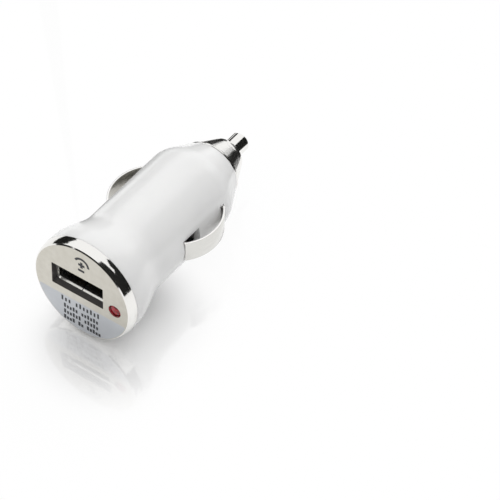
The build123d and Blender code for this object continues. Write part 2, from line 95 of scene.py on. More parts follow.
def add_node(tree, kind, values=None, links=None, **settings):
    node = tree.nodes.new(kind)
    for name, value in settings.items():
        setattr(node, name, value)
    for socket, value in (values or {}).items():
        node.inputs[socket].default_value = value
    for socket, source in (links or {}).items():
        tree.links.new(source, node.inputs[socket])
    return node


def new_material(name, **values):
    material = bpy.data.materials.new(name)
    material.use_nodes = True
    tree = material.node_tree
    shader = tree.nodes["Principled BSDF"]
    for socket, value in values.items():
        shader.inputs[socket.replace("_", " ")].default_value = value
    place = add_node(tree, "ShaderNodeTexCoord").outputs["Object"]
    return material, tree, shader, place


def dress(piece, material):
    piece.data.materials.clear()
    piece.data.materials.append(material)


print("middle grey in linear light:", round(linear("#808080")[0], 3))

# %% [markdown]
# ## Moulded white ABS
# The body is injection-moulded ABS from a polished tool: a bright white with a soft gloss and a very
# faint waviness where the wall shrank. Some light passes through the thin wall, so its slots look grey
# inside and not black; subsurface scattering gives that. A soft noise moves the roughness a little and
# a broad one bends the normals by a trace, so that reflections run slightly uneven as on real mouldings.

# %% White body
FLOW_MARK, SHRINK_WAVE, SHRINK_DEPTH = 6 * MM, 4 * MM, 0.1 * MM
LIGHT_REACH = 1.5 * MM
body_white, tree, shader, place = new_material(
    "moulded_white_abs", IOR=1.5, Subsurface_Weight=0.5, Subsurface_Scale=LIGHT_REACH,
    Subsurface_Radius=(1, 1, 1))
flow = add_node(tree, "ShaderNodeTexNoise", {"Scale": 1 / FLOW_MARK, "Detail": 3.0}, {"Vector": place})
tint = add_node(tree, "ShaderNodeMix", {COLOUR_A: linear("#EAEAEA"), COLOUR_B: linear("#EFEFEE")},
                {FACTOR: flow.outputs["Fac"]}, data_type="RGBA")
gloss = add_node(tree, "ShaderNodeMapRange", {"To Min": 0.13, "To Max": 0.20},
                 {"Value": flow.outputs["Fac"]})
wave = add_node(tree, "ShaderNodeTexNoise", {"Scale": 1 / SHRINK_WAVE, "Detail": 1.0}, {"Vector": place})
dents = add_node(tree, "ShaderNodeBump", {"Strength": 0.03, "Distance": SHRINK_DEPTH},
                 {"Height": wave.outputs["Fac"]})
tree.links.new(tint.outputs[MIXED_COLOUR], shader.inputs["Base Color"])
tree.links.new(gloss.outputs[0], shader.inputs["Roughness"])
tree.links.new(dents.outputs[0], shader.inputs["Normal"])
print("made", body_white.name)

# %% [markdown]
# ## Plated cap: satin face, polished rim
# The cap is chrome-plated ABS. Its tool was blasted on the flat face and polished on the rim, so the same
# plating looks satin and warm on the face and mirror-bright on the side. The walls of the opening are painted a
# dark grey and made less metallic: painted shade in the recess. Three materials on three sets of faces would do
# as well. Here Object coordinates tell the three zones apart in one material, so no faces have to be picked.

# %% Zones of the cap
INK_ROOM = 0.03 * MM
FACE_DEPTH = INK_ROOM + 0.02 * MM
SHELL_HALF_HEIGHT = 2.86 * MM
OPENING_X, OPENING_Z = 6.65 * MM, 2.93 * MM
port_low, port_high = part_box("usb_shell")
port_x, port_z = (port_low.x + port_high.x) / 2, port_high.z - SHELL_HALF_HEIGHT
cap_plated, tree, shader, place = new_material("chrome_plated_abs")
axes = add_node(tree, "ShaderNodeSeparateXYZ", links={"Vector": place})
rim = add_node(tree, "ShaderNodeMath", {1: FACE_DEPTH}, {0: axes.outputs["Y"]}, operation="GREATER_THAN")
in_width = add_node(tree, "ShaderNodeMath", {1: port_x, 2: OPENING_X}, {0: axes.outputs["X"]},
                    operation="COMPARE")
in_height = add_node(tree, "ShaderNodeMath", {1: port_z, 2: OPENING_Z}, {0: axes.outputs["Z"]},
                     operation="COMPARE")
inside = add_node(tree, "ShaderNodeMath", {}, {0: in_width.outputs[0], 1: in_height.outputs[0]},
                  operation="MULTIPLY")
shaded_opening_walls = add_node(tree, "ShaderNodeMath", {}, {0: inside.outputs[0], 1: rim.outputs[0]},
                         operation="MULTIPLY")
print("middle of the opening:", round(port_x / MM, 2), round(port_z / MM, 2), "mm")

# %% Plating in the three zones
# Blasting grit is well under 0.1 mm. It is drawn coarser than real, so that it shows.
GRIT, BLOTCH, PIT_DEPTH = 0.25 * MM, 1.6 * MM, 0.02 * MM
RIM_ROUGHNESS = 0.10
grit = add_node(tree, "ShaderNodeTexNoise", {"Scale": 1 / GRIT, "Detail": 2.0}, {"Vector": place})
satin = add_node(tree, "ShaderNodeMapRange", {"To Min": 0.30, "To Max": 0.42},
                 {"Value": grit.outputs["Fac"]})
polish = add_node(tree, "ShaderNodeMix", {NUMBER_B: RIM_ROUGHNESS},
                  {FACTOR: rim.outputs[0], NUMBER_A: satin.outputs[0]})
plated = add_node(tree, "ShaderNodeMapRange", {"To Min": 1.0, "To Max": 0.3},
                  {"Value": shaded_opening_walls.outputs[0]})
blotch = add_node(tree, "ShaderNodeTexNoise", {"Scale": 1 / BLOTCH, "Detail": 4.0}, {"Vector": place})
blasted = add_node(tree, "ShaderNodeMix", {COLOUR_A: linear("#C8C4B9"), COLOUR_B: linear("#DEDBD2")},
                   {FACTOR: blotch.outputs["Fac"]}, data_type="RGBA")
plate = add_node(tree, "ShaderNodeMix", {COLOUR_B: linear("#F2F1EE")},
                 {FACTOR: rim.outputs[0], COLOUR_A: blasted.outputs[MIXED_COLOUR]}, data_type="RGBA")
# Painted shade: the walls of the opening get a dark grey, darker than the face.
tone = add_node(tree, "ShaderNodeMix", {COLOUR_B: linear("#6E6B6A")},
                {FACTOR: shaded_opening_walls.outputs[0], COLOUR_A: plate.outputs[MIXED_COLOUR]},
                data_type="RGBA")
pits = add_node(tree, "ShaderNodeBump", {"Strength": 0.05, "Distance": PIT_DEPTH},
                {"Height": grit.outputs["Fac"]})
tree.links.new(tone.outputs[MIXED_COLOUR], shader.inputs["Base Color"])
tree.links.new(plated.outputs[0], shader.inputs["Metallic"])
tree.links.new(polish.outputs[0], shader.inputs["Roughness"])
tree.links.new(pits.outputs[0], shader.inputs["Normal"])
print("made", cap_plated.name)

# %% [markdown]
# ## Bright metals
# The nose ring and the pin are polished and plated, the receptacle shell is tinned steel, and its contacts
# are brass with a flash of gold. They differ in how sharp the mirror is and in the fine lines that rolling
# or drawing leaves along the stock, so one function makes them all from those values.

# %% Plated and rolled metals
# Lines from rolling and drawing are a few hundredths of a millimetre apart. They are drawn coarser than
# real, so that they show.
EVENLY, ALONG_Y, ROUND_Z = (1, 1, 1), (1, 0.1, 1), (0.05, 0.05, 1)


def bright_metal(name, shade, dark_shade, smooth, rough, line_width, stretch):
    material, tree, shader, place = new_material(name, Metallic=1.0)
    along = add_node(tree, "ShaderNodeMapping", {"Scale": stretch}, {"Vector": place})
    lines = add_node(tree, "ShaderNodeTexNoise", {"Scale": 1 / line_width, "Detail": 2.0},
                     {"Vector": along.outputs[0]})
    tone = add_node(tree, "ShaderNodeMix", {COLOUR_A: linear(dark_shade), COLOUR_B: linear(shade)},
                    {FACTOR: lines.outputs["Fac"]}, data_type="RGBA")
    gloss = add_node(tree, "ShaderNodeMapRange", {"To Min": smooth, "To Max": rough},
                     {"Value": lines.outputs["Fac"]})
    tree.links.new(tone.outputs[MIXED_COLOUR], shader.inputs["Base Color"])
    tree.links.new(gloss.outputs[0], shader.inputs["Roughness"])
    print("made", name)
    return material


turned_chrome = bright_metal("polished_chrome", "#F8F7F5", "#F0EFEC", 0.06, 0.12, 0.5 * MM, EVENLY)
ridged_chrome = bright_metal("turned_ridged_chrome", "#F8F7F5", "#F0EFEC", 0.12, 0.20, 0.5 * MM, EVENLY)
tinned_steel = bright_metal("tinned_steel", "#F2F1EC", "#DEDDD8", 0.18, 0.28, 0.3 * MM, ALONG_Y)
contact_brass = bright_metal("gold_flashed_brass", "#D9B566", "#C39A49", 0.15, 0.25, 0.3 * MM, ALONG_Y)
spring_steel = bright_metal("drawn_spring_wire", "#B9B9B6", "#A5A5A1", 0.2, 0.3, 0.2 * MM, EVENLY)
enamelled_wire = bright_metal("enamelled_copper", "#B5602C", "#8E4520", 0.25, 0.4, 0.25 * MM, ROUND_Z)

# %% [markdown]
# ## Nickel strip for the clips
# The clips are rolled spring strip, flashed with nickel after they were bent. The rolled outside has the
# nickel's own grey. The cut edges are painted near white as a painted highlight, and so is the inside of the
# right clip's bow. The inside of the left clip's bow is painted a dull grey as painted shade. The normal in the
# object's own space tells outside, inside and edges apart: it points away from the plug's axis, back towards it,
# or along it and up. The sign of X tells the two clips apart.

# %% Rolled strip and its sides
# Rolling lines are drawn coarser than real here too.
ROLL_LINE, ROLLED_ALONG_Y = 0.4 * MM, (1, 0.05, 1)
SIDE_LIMIT = 0.3
nickel_strip, tree, shader, place = new_material("nickel_spring_strip", Metallic=1.0)
along = add_node(tree, "ShaderNodeMapping", {"Scale": ROLLED_ALONG_Y}, {"Vector": place})
lines = add_node(tree, "ShaderNodeTexNoise", {"Scale": 1 / ROLL_LINE, "Detail": 2.0},
                 {"Vector": along.outputs[0]})
normal = add_node(tree, "ShaderNodeTexCoord").outputs["Normal"]
facing = add_node(tree, "ShaderNodeSeparateXYZ", links={"Vector": normal})
spot = add_node(tree, "ShaderNodeSeparateXYZ", links={"Vector": place})
clip_hand = add_node(tree, "ShaderNodeMath", {}, {0: spot.outputs["X"]}, operation="SIGN")
outward = add_node(tree, "ShaderNodeMath", {}, {0: clip_hand.outputs[0], 1: facing.outputs["X"]},
                   operation="MULTIPLY")
is_inside = add_node(tree, "ShaderNodeMath", {1: -SIDE_LIMIT}, {0: outward.outputs[0]},
                     operation="LESS_THAN")
is_outside = add_node(tree, "ShaderNodeMath", {1: SIDE_LIMIT}, {0: outward.outputs[0]},
                      operation="GREATER_THAN")
print("sides of the strip: outside, inside, edges")

# %% Nickel on each side
rolled = add_node(tree, "ShaderNodeMix", {COLOUR_A: linear("#D8D7D3"), COLOUR_B: linear("#E3E2DE")},
                  {FACTOR: lines.outputs["Fac"]}, data_type="RGBA")
# Painted shade: the inside of the left clip's bow is a dull, darker grey.
left_inside_painted_shade = add_node(tree, "ShaderNodeMix", {COLOUR_A: linear("#9B9993"), COLOUR_B: linear("#B7B4AC")},
                {FACTOR: lines.outputs["Fac"]}, data_type="RGBA")
# A factor below 0 counts as 0, so the sign of X picks the painted shade for the inside of the left clip and the
# painted highlight for the inside of the right one.
inside_painted_shade_and_highlight = add_node(tree, "ShaderNodeMix", {COLOUR_B: linear("#FBFAF8")},
                 {FACTOR: clip_hand.outputs[0], COLOUR_A: left_inside_painted_shade.outputs[MIXED_COLOUR]}, data_type="RGBA")
# Painted highlight: the cut edges are painted near white.
outside_and_painted_edge_highlight = add_node(tree, "ShaderNodeMix", {COLOUR_A: linear("#FBFAF8")},
                 {FACTOR: is_outside.outputs[0], COLOUR_B: rolled.outputs[MIXED_COLOUR]},
                 data_type="RGBA")
tone = add_node(tree, "ShaderNodeMix", {},
                {FACTOR: is_inside.outputs[0], COLOUR_A: outside_and_painted_edge_highlight.outputs[MIXED_COLOUR],
                 COLOUR_B: inside_painted_shade_and_highlight.outputs[MIXED_COLOUR]}, data_type="RGBA")
gloss = add_node(tree, "ShaderNodeMapRange", {"To Min": 0.14, "To Max": 0.22},
                 {"Value": lines.outputs["Fac"]})
tree.links.new(tone.outputs[MIXED_COLOUR], shader.inputs["Base Color"])
tree.links.new(gloss.outputs[0], shader.inputs["Roughness"])
print("made", nickel_strip.name)

# %% [markdown]
# ## Label film and lamp resin
# The label is a silver polyester film with a satin top coat, so it is part metal and part plastic to the eye.
# The lamp is red-tinted epoxy, which glows where light passes and shows a sharp glint. A clouded red stands
# partly for the chip and the wires that are cast into it and partly for painted reflections: light and dark
# patches as the faceted lens mirrors inside.

# %% Film and resin
FILM_WAVE, RESIN_CLOUD = 5 * MM, 0.7 * MM
label_film, tree, shader, place = new_material("silver_polyester_film", Metallic=0.6, Roughness=0.36)
sheen = add_node(tree, "ShaderNodeTexNoise", {"Scale": 1 / FILM_WAVE, "Detail": 1.0}, {"Vector": place})
film = add_node(tree, "ShaderNodeMix", {COLOUR_A: linear("#C4C7CC"), COLOUR_B: linear("#D3D6DA")},
                {FACTOR: sheen.outputs["Fac"]}, data_type="RGBA")
tree.links.new(film.outputs[MIXED_COLOUR], shader.inputs["Base Color"])
print("made", label_film.name)

lamp_red, tree, shader, place = new_material("red_epoxy_lens", Roughness=0.05, IOR=1.54,
                                             Transmission_Weight=0.2)
# Painted reflection: the clouded red mixes the chip and wires with glints inside the lens.
cloud_and_painted_glints = add_node(tree, "ShaderNodeTexNoise", {"Scale": 1 / RESIN_CLOUD, "Detail": 1.0}, {"Vector": place})
depth = add_node(tree, "ShaderNodeMapRange", {"From Min": 0.35, "From Max": 0.65},
                 {"Value": cloud_and_painted_glints.outputs["Fac"]})
resin = add_node(tree, "ShaderNodeMix", {COLOUR_A: linear("#7A0915"), COLOUR_B: linear("#D01B31")},
                 {FACTOR: depth.outputs[0]}, data_type="RGBA")
tree.links.new(resin.outputs[MIXED_COLOUR], shader.inputs["Base Color"])
print("made", lamp_red.name)

# %% [markdown]
# ## Ink and the parts inside
# The ink is screen-printed. The parts behind the slots and in the opening are moulded, sleeved, fired or
# laminated. Each has two shades of its own colour, spread as a grain of the material's own size, which also
# lifts the surface a little.

# %% Grained materials
GRAIN_LIFT = 0.02 * MM


def grained(name, shade, dark_shade, rough, grain_size):
    material, tree, shader, place = new_material(name, Roughness=rough)
    grain = add_node(tree, "ShaderNodeTexNoise", {"Scale": 1 / grain_size, "Detail": 3.0},
                     {"Vector": place})
    tone = add_node(tree, "ShaderNodeMix", {COLOUR_A: linear(dark_shade), COLOUR_B: linear(shade)},
                    {FACTOR: grain.outputs["Fac"]}, data_type="RGBA")
    relief = add_node(tree, "ShaderNodeBump", {"Strength": 0.15, "Distance": GRAIN_LIFT},
                      {"Height": grain.outputs["Fac"]})
    tree.links.new(tone.outputs[MIXED_COLOUR], shader.inputs["Base Color"])
    tree.links.new(relief.outputs[0], shader.inputs["Normal"])
    print("made", name)
    return material


black_moulding = grained("moulded_black_nylon", "#1C1C1D", "#121213", 0.42, 0.2 * MM)
board_laminate = grained("glass_epoxy_laminate", "#1F5A34", "#174527", 0.35, 0.6 * MM)
chip_ceramic = grained("glazed_chip_resistor", "#2A2A2E", "#1D1D20", 0.3, 0.3 * MM)
tan_ceramic = grained("fired_barium_titanate", "#A88A66", "#947855", 0.5, 0.3 * MM)
ferrite = grained("sintered_ferrite", "#3A3836", "#2B2928", 0.55, 0.15 * MM)
can_sleeve = grained("shrunk_pvc_sleeve", "#1D2440", "#161B31", 0.28, 0.8 * MM)
label_ink = grained("screen_printed_ink", "#33353B", "#26282D", 0.5, 0.15 * MM)

# %% [markdown]
# ## Smooth skins over the turned pieces
# A solid comes in from model.glb as loose flat triangles, which show as facets on a glossy piece. Copying the
# mesh, merging its doubled corners and smoothing only the edges below a set angle gives the same shape with a
# continuous shine. The copy rides on the piece's body and stands for it. The clips' cut edges are also rounded
# by a hair, as tumbling leaves them.

# %% Helper for a smooth copy
MERGE = 0.0005 * MM
SMOOTH_BELOW, DOME_EDGE, RIDGE_EDGE = math.radians(38), math.radians(25), math.radians(14)
CLIP_EDGE, CLIP_EDGE_STEPS = 0.06 * MM, 2


def smooth_skin(node, material, edge_round=0.0, smooth_below=SMOOTH_BELOW):
    bpy.ops.object.select_all(action="DESELECT")
    solid = nodes[node]
    skin = solid.copy()
    skin.data = solid.data.copy()
    skin.parent = None
    for key in list(skin.keys()):
        del skin[key]
    skin.name = node + "_skin"
    bpy.context.scene.collection.objects.link(skin)
    skin.select_set(True)
    bpy.context.view_layer.objects.active = skin
    bpy.ops.mesh.customdata_custom_splitnormals_clear()
    bpy.ops.object.mode_set(mode="EDIT")
    bpy.ops.mesh.select_all(action="SELECT")
    bpy.ops.mesh.remove_doubles(threshold=MERGE)
    bpy.ops.object.mode_set(mode="OBJECT")
    if edge_round:
        bevel = skin.modifiers.new("edge", "BEVEL")
        bevel.width = edge_round
        bevel.segments = CLIP_EDGE_STEPS
        bevel.angle_limit = smooth_below
        bpy.ops.object.modifier_apply(modifier="edge")
    bpy.ops.object.shade_smooth_by_angle(angle=smooth_below)
    dress(skin, material)
    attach(skin, solid["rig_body"])
    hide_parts(node)
    return skin


print("corners merge within", MERGE / MM, "mm")

# %% Smooth copies of the pieces that show
skins = {
    "body_shell": smooth_skin("body_shell", body_white),
    "end_cap": smooth_skin("end_cap", cap_plated),
    "nose_ring": smooth_skin("nose_ring", ridged_chrome, smooth_below=RIDGE_EDGE),
    "centre_pin": smooth_skin("centre_pin", turned_chrome, smooth_below=DOME_EDGE),
    "side_clip_right": smooth_skin("side_clip_right", nickel_strip, CLIP_EDGE),
    "side_clip_left": smooth_skin("side_clip_left", nickel_strip, CLIP_EDGE),
    "led_lens": smooth_skin("led_lens", lamp_red),
    "rating_label": smooth_skin("rating_label", label_film),
    "contact_spring": smooth_skin("contact_spring", spring_steel),
}
print("smooth skins:", len(skins))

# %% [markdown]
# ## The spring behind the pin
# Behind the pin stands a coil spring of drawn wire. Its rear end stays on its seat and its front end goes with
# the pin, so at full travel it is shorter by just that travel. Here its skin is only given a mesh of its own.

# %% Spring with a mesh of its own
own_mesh(skins["contact_spring"])

# %% [markdown]
# ## Finishes for the pieces that stay as modelled
# The remaining solids already have the right shape, so each only gets its material. A solid that a skin
# stands for gets the skin's material too.

# %% Dress the other solids
finishes = {
    "usb_shell": tinned_steel, "usb_tongue": black_moulding, "usb_contacts": contact_brass,
    "led_leads": tinned_steel, "circuit_board": board_laminate, "regulator_chip": black_moulding,
    "chip_pins": tinned_steel, "flyback_diode": black_moulding, "chip_resistors": chip_ceramic,
    "chip_capacitors": tan_ceramic, "inductor_core": ferrite, "inductor_winding": enamelled_wire,
    "input_capacitor": can_sleeve, "output_capacitor": can_sleeve, "capacitor_leads": tinned_steel,
    "spring_seat": contact_brass,
}
for node, material in finishes.items():
    dress(nodes[node], material)
for node, skin in skins.items():
    dress(nodes[node], skin.data.materials[0])
print("dressed as they are:", len(finishes))

# %% [markdown]
# ## Room for the ink
# Print stands on the surface that carries it. The fronts of the label and the cap are set back by a hair
# first, so that the plug with its print is no longer than before. One helper opens a piece in edit mode with
# only the wanted parts of it selected, and a second one finds the edges that run along the plug.

# %% Select by place and set the fronts back
NEARLY_ALONG = 0.9


def pick(piece, kind, wanted):
    bpy.ops.object.select_all(action="DESELECT")
    piece.select_set(True)
    bpy.context.view_layer.objects.active = piece
    bpy.ops.object.mode_set(mode="EDIT")
    bpy.ops.mesh.select_mode(type=kind)
    bpy.ops.mesh.select_all(action="DESELECT")
    bpy.ops.object.mode_set(mode="OBJECT")
    mesh = piece.data
    for element in {"VERT": mesh.vertices, "EDGE": mesh.edges, "FACE": mesh.polygons}[kind]:
        element.select = wanted(element)
    bpy.ops.object.mode_set(mode="EDIT")


def runs_along_y(mesh):
    ends = mesh.vertices
    return lambda edge: NEARLY_ALONG < abs(
        (ends[edge.vertices[0]].co - ends[edge.vertices[1]].co).normalized().y)


for front in (skins["rating_label"], skins["end_cap"]):
    pick(front, "VERT", lambda point: point.co.y < INK_ROOM / 2)
    bpy.ops.transform.translate(value=(0, INK_ROOM, 0))
    bpy.ops.object.mode_set(mode="OBJECT")
    print(front.name, "front at", round(min(point.co.y for point in front.data.vertices) / MM, 3), "mm")

# %% [markdown]
# ## Crown of the rim
# The polished side of the cap isn't a plain cone. Polishing leaves such a narrow band slightly round, and
# a mirror shows that at once, because the dark shapes in it lean and taper. Planes across the plug cut the
# band into rows, and each row is then swelled by up to a tenth of a millimetre or so: most in the middle,
# and not at all at its two edges.

# %% Cut the rim into rows
RIM_FRONT, RIM_BACK, RIM_INSIDE = 0.246 * MM, 2.45 * MM, 12.1 * MM
RIM_ROWS = 10
cap = skins["end_cap"]


def on_rim(spot):
    in_band = RIM_FRONT - MERGE < spot.y < RIM_BACK + MERGE
    return in_band and math.hypot(spot.x, spot.z) > RIM_INSIDE


for row in range(1, RIM_ROWS):
    pick(cap, "FACE", lambda face: on_rim(face.center))
    cut = RIM_FRONT + (RIM_BACK - RIM_FRONT) * row / RIM_ROWS
    bpy.ops.mesh.bisect(plane_co=(0, cut, 0), plane_no=(0, 1, 0))
    bpy.ops.object.mode_set(mode="OBJECT")
levels = sorted({round(point.co.y, 7) for point in cap.data.vertices if on_rim(point.co)})
print("rows of the rim:", len(levels) - 1)

# %% Swell the rows
RIM_CROWN = 0.13 * MM
for level in levels:
    share = (level - RIM_FRONT) / (RIM_BACK - RIM_FRONT)
    ring = [point for point in cap.data.vertices if on_rim(point.co) and abs(point.co.y - level) < MERGE]
    radius = math.hypot(ring[0].co.x, ring[0].co.z)
    # A parabola: nothing at both edges and the full crown half way between them.
    wider = 1 + 4 * RIM_CROWN * share * (1 - share) / radius
    pick(cap, "VERT", lambda point: on_rim(point.co) and abs(point.co.y - level) < MERGE)
    bpy.ops.transform.resize(value=(wider, 1, wider), center_override=(0, level, 0))
    bpy.ops.object.mode_set(mode="OBJECT")
print("points of the cap:", len(cap.data.vertices))

# %% [markdown]
# ## Print on the label
# The label carries four rows of short dark strokes in groups. One stroke is modelled: a cube, flattened to
# the thickness of ink, with its four corner edges rounded. It is then copied along each row, higher or lower
# in a set order, and the copies are joined to one thin layer of ink.

# %% One stroke of ink
INK_THICK = 0.02 * MM
INK_CORNER, INK_CORNER_STEPS = 0.08 * MM, 3
STROKE_W, STROKE_H = 0.48 * MM, 1.2 * MM
bpy.ops.object.select_all(action="DESELECT")
bpy.ops.mesh.primitive_cube_add(size=1.0)
stroke = bpy.context.object
stroke.name = "label_print"
bpy.ops.transform.resize(value=(STROKE_W, INK_THICK, STROKE_H))
bpy.ops.object.transform_apply(location=True, rotation=True, scale=True)
pick(stroke, "EDGE", runs_along_y(stroke.data))
bpy.ops.mesh.bevel(offset=INK_CORNER, segments=INK_CORNER_STEPS)
bpy.ops.object.mode_set(mode="OBJECT")
dress(stroke, label_ink)
print("faces of one stroke:", len(stroke.data.polygons))

# %% Rows of strokes
# One row: height of its middle, left end and pitch in mm, how many strokes each group has, and how wide
# and high they are against the first stroke.
rows = [
    (-4.55, -5.1, 0.93, (3, 7), (0.9, 1.15)),
    (-6.55, -4.5, 0.76, (5, 6), (1.0, 1.0)),
    (-8.25, -4.5, 0.76, (6, 5), (1.0, 1.0)),
    (-9.95, -4.55, 0.75, (4, 2, 5), (1.15, 0.95)),
]
TALL = (1.0, 0.72, 0.72, 1.0, 0.78)
ink_y = INK_ROOM - INK_THICK / 2
copies = []
for middle, left, pitch, groups, (wide, high) in rows:
    step = 0
    for group in groups:
        for turn in range(group):
            copy = stroke.copy()
            copy.data = stroke.data.copy()
            bpy.context.scene.collection.objects.link(copy)
            tall = high * TALL[(step + turn) % len(TALL)]
            base = middle * MM - high * STROKE_H / 2
            copy.location = ((left + pitch * (step + turn)) * MM, ink_y, base + tall * STROKE_H / 2)
            copy.scale = (wide, 1, tall)
            copies.append(copy)
        step += group + 1
print("strokes on the label:", len(copies))

# %% Join the strokes
bpy.ops.object.select_all(action="DESELECT")
for copy in copies:
    copy.select_set(True)
bpy.context.view_layer.objects.active = copies[0]
bpy.ops.object.transform_apply(location=True, rotation=True, scale=True)
bpy.ops.object.join()
label_print = bpy.context.object
bpy.data.objects.remove(stroke)
label_print.name = "label_print"
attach(label_print, "housing")
print("faces of the print:", len(label_print.data.polygons))

# %% [markdown]
# ## Printed mark above the opening
# A small dark mark is pad-printed on the face above the opening: a plain sign for polarity, with a plus
# under an open ring and a minus below. The ring is a small rectangle spun part of the way round, the plus
# grows out of a cube by extruding its four sides, and the minus is a stretched cube with rounded corners. The
# three are joined to one thin layer of ink, which stands on the face as the print on the label does.

# %% Open ring
MARK_X, MARK_Z = 0.2 * MM, 8.1 * MM
MARK_RING_R, MARK_RING_W = 1.75 * MM, 0.55 * MM
MARK_RING_TURN, MARK_RING_STEPS = math.radians(150), 24
bpy.ops.object.select_all(action="DESELECT")
bpy.ops.mesh.primitive_plane_add(size=1.0, location=(MARK_X + MARK_RING_R, ink_y, MARK_Z))
mark_ring = bpy.context.object
bpy.ops.transform.resize(value=(MARK_RING_W, INK_THICK, 1))
bpy.ops.object.transform_apply(location=True, rotation=True, scale=True)
bpy.ops.object.mode_set(mode="EDIT")
bpy.ops.mesh.select_all(action="SELECT")
bpy.ops.mesh.spin(steps=MARK_RING_STEPS, angle=MARK_RING_TURN, center=(MARK_X, ink_y, MARK_Z),
                  axis=(0, 1, 0))
bpy.ops.mesh.select_all(action="SELECT")
bpy.ops.mesh.fill_holes(sides=4)
bpy.ops.mesh.select_all(action="SELECT")
bpy.ops.mesh.normals_make_consistent(inside=False)
bpy.ops.object.mode_set(mode="OBJECT")
print("faces of the ring:", len(mark_ring.data.polygons))

# %% Plus
PLUS_W, PLUS_ARM = 0.6 * MM, 0.5 * MM
FACES_FRONT = 0.5
bpy.ops.object.select_all(action="DESELECT")
bpy.ops.mesh.primitive_cube_add(size=1.0, location=(MARK_X, ink_y, MARK_Z))
mark_plus = bpy.context.object
bpy.ops.transform.resize(value=(PLUS_W, INK_THICK, PLUS_W))
bpy.ops.object.transform_apply(location=True, rotation=True, scale=True)
pick(mark_plus, "FACE", lambda face: abs(face.normal.y) < FACES_FRONT)
bpy.ops.mesh.extrude_faces_move(TRANSFORM_OT_shrink_fatten={"value": PLUS_ARM})
bpy.ops.object.mode_set(mode="OBJECT")
print("plus across:", [round(v / MM, 2) for v in mark_plus.dimensions], "mm")

# %% Minus, and join the mark
MINUS_X, MINUS_Z, MINUS_L, MINUS_W = -0.1 * MM, -1.6 * MM, 1.6 * MM, 0.6 * MM
bpy.ops.object.select_all(action="DESELECT")
bpy.ops.mesh.primitive_cube_add(size=1.0, location=(MARK_X + MINUS_X, ink_y, MARK_Z + MINUS_Z))
face_mark = bpy.context.object
face_mark.name = "face_mark"
bpy.ops.transform.resize(value=(MINUS_L, INK_THICK, MINUS_W))
bpy.ops.object.transform_apply(location=True, rotation=True, scale=True)
pick(face_mark, "EDGE", runs_along_y(face_mark.data))
bpy.ops.mesh.bevel(offset=INK_CORNER, segments=INK_CORNER_STEPS)
bpy.ops.object.mode_set(mode="OBJECT")
mark_ring.select_set(True)
mark_plus.select_set(True)
bpy.ops.object.join()
dress(face_mark, label_ink)
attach(face_mark, "housing")
print("faces of the mark:", len(face_mark.data.polygons))

# %% [markdown]
# ## White table
# The plug lies on its flange and its shoulder, so the table is a plane through the lowest points of both,
# a few degrees off level. Its top is polished white acrylic, which mirrors the plug. Acrylic has an IOR of
# 1.49, and a higher one is set here, to match how strongly the table mirrors. In a studio, such a table is
# lit until it is pure white away from the plug. More light would fall on the plug too, so a plain white is
# mixed in there for the camera and for mirrors only: the plug's own light stays as it is, and so does the
# shadow close to it.

# %% Table
FLANGE_REST = Vector((0, 4.7, -12.523)) * MM
SHOULDER_REST = Vector((0, 37.04, -10.37)) * MM
TABLE_SIZE, TABLE_CELLS = 6.0, 4
lie = SHOULDER_REST - FLANGE_REST
slope = math.atan2(lie.z, lie.y)
bpy.ops.object.select_all(action="DESELECT")
bpy.ops.mesh.primitive_grid_add(x_subdivisions=TABLE_CELLS, y_subdivisions=TABLE_CELLS, size=TABLE_SIZE,
                                location=FLANGE_REST, rotation=(slope, 0, 0))
table = bpy.context.object
table.name = "table"
print("table slope:", round(math.degrees(slope), 2), "degrees")

# %% White acrylic
WHITE_CENTRE = Vector((7, 0, 0)) * MM
WHITE_FROM, WHITE_AT, WHITE_SHARE = 8 * MM, 24 * MM, 0.92


def seen_directly(tree):
    rays = add_node(tree, "ShaderNodeLightPath").outputs
    seen = add_node(tree, "ShaderNodeMath", {}, {0: rays["Is Camera Ray"], 1: rays["Is Glossy Ray"]},
                    operation="MAXIMUM")
    through = add_node(tree, "ShaderNodeMath", {}, {0: seen.outputs[0], 1: rays["Is Transmission Ray"]},
                       operation="MAXIMUM")
    return through.outputs[0]


table_top, tree, shader, place = new_material("white_gloss_acrylic", Roughness=0.03, IOR=2.3)
shader.inputs["Base Color"].default_value = linear("#FFFFFF")
away = add_node(tree, "ShaderNodeVectorMath", {1: WHITE_CENTRE}, {0: place}, operation="DISTANCE")
fade = add_node(tree, "ShaderNodeMapRange",
                {"From Min": WHITE_FROM, "From Max": WHITE_AT, "To Max": WHITE_SHARE},
                {"Value": away.outputs["Value"]}, interpolation_type="SMOOTHSTEP")
shown = add_node(tree, "ShaderNodeMath", {}, {0: fade.outputs[0], 1: seen_directly(tree)},
                 operation="MULTIPLY")
white = add_node(tree, "ShaderNodeEmission", {"Color": linear("#FFFFFF"), "Strength": 1.0})
whitened = add_node(tree, "ShaderNodeMixShader", {},
                    {0: shown.outputs[0], 1: shader.outputs[0], 2: white.outputs[0]})
tree.links.new(whitened.outputs[0], tree.nodes["Material Output"].inputs["Surface"])
dress(table, table_top)
print("made", table_top.name)

# %% [markdown]
# ## Dark cards around the set
# Bright metal shows what stands around it, so a photographer puts black cards there. A wall of cards stands
# round the table: low behind the nose, tall on the right, and of middle height behind the camera. Each height
# shapes one of the dark forms in the rim, the nose ring and the pin. The wall starts as an open cylinder, and
# the points of its top and its foot are moved up or down, one stretch at a time. It is seen in reflections
# only, so it takes no light from the plug.

# %% Dark cards
CARD_RADIUS, CARD_LOW, CARD_HIGH, CARD_PANELS = 1.2, -0.15, 1.85, 90
CARD_EDGE = 0.01
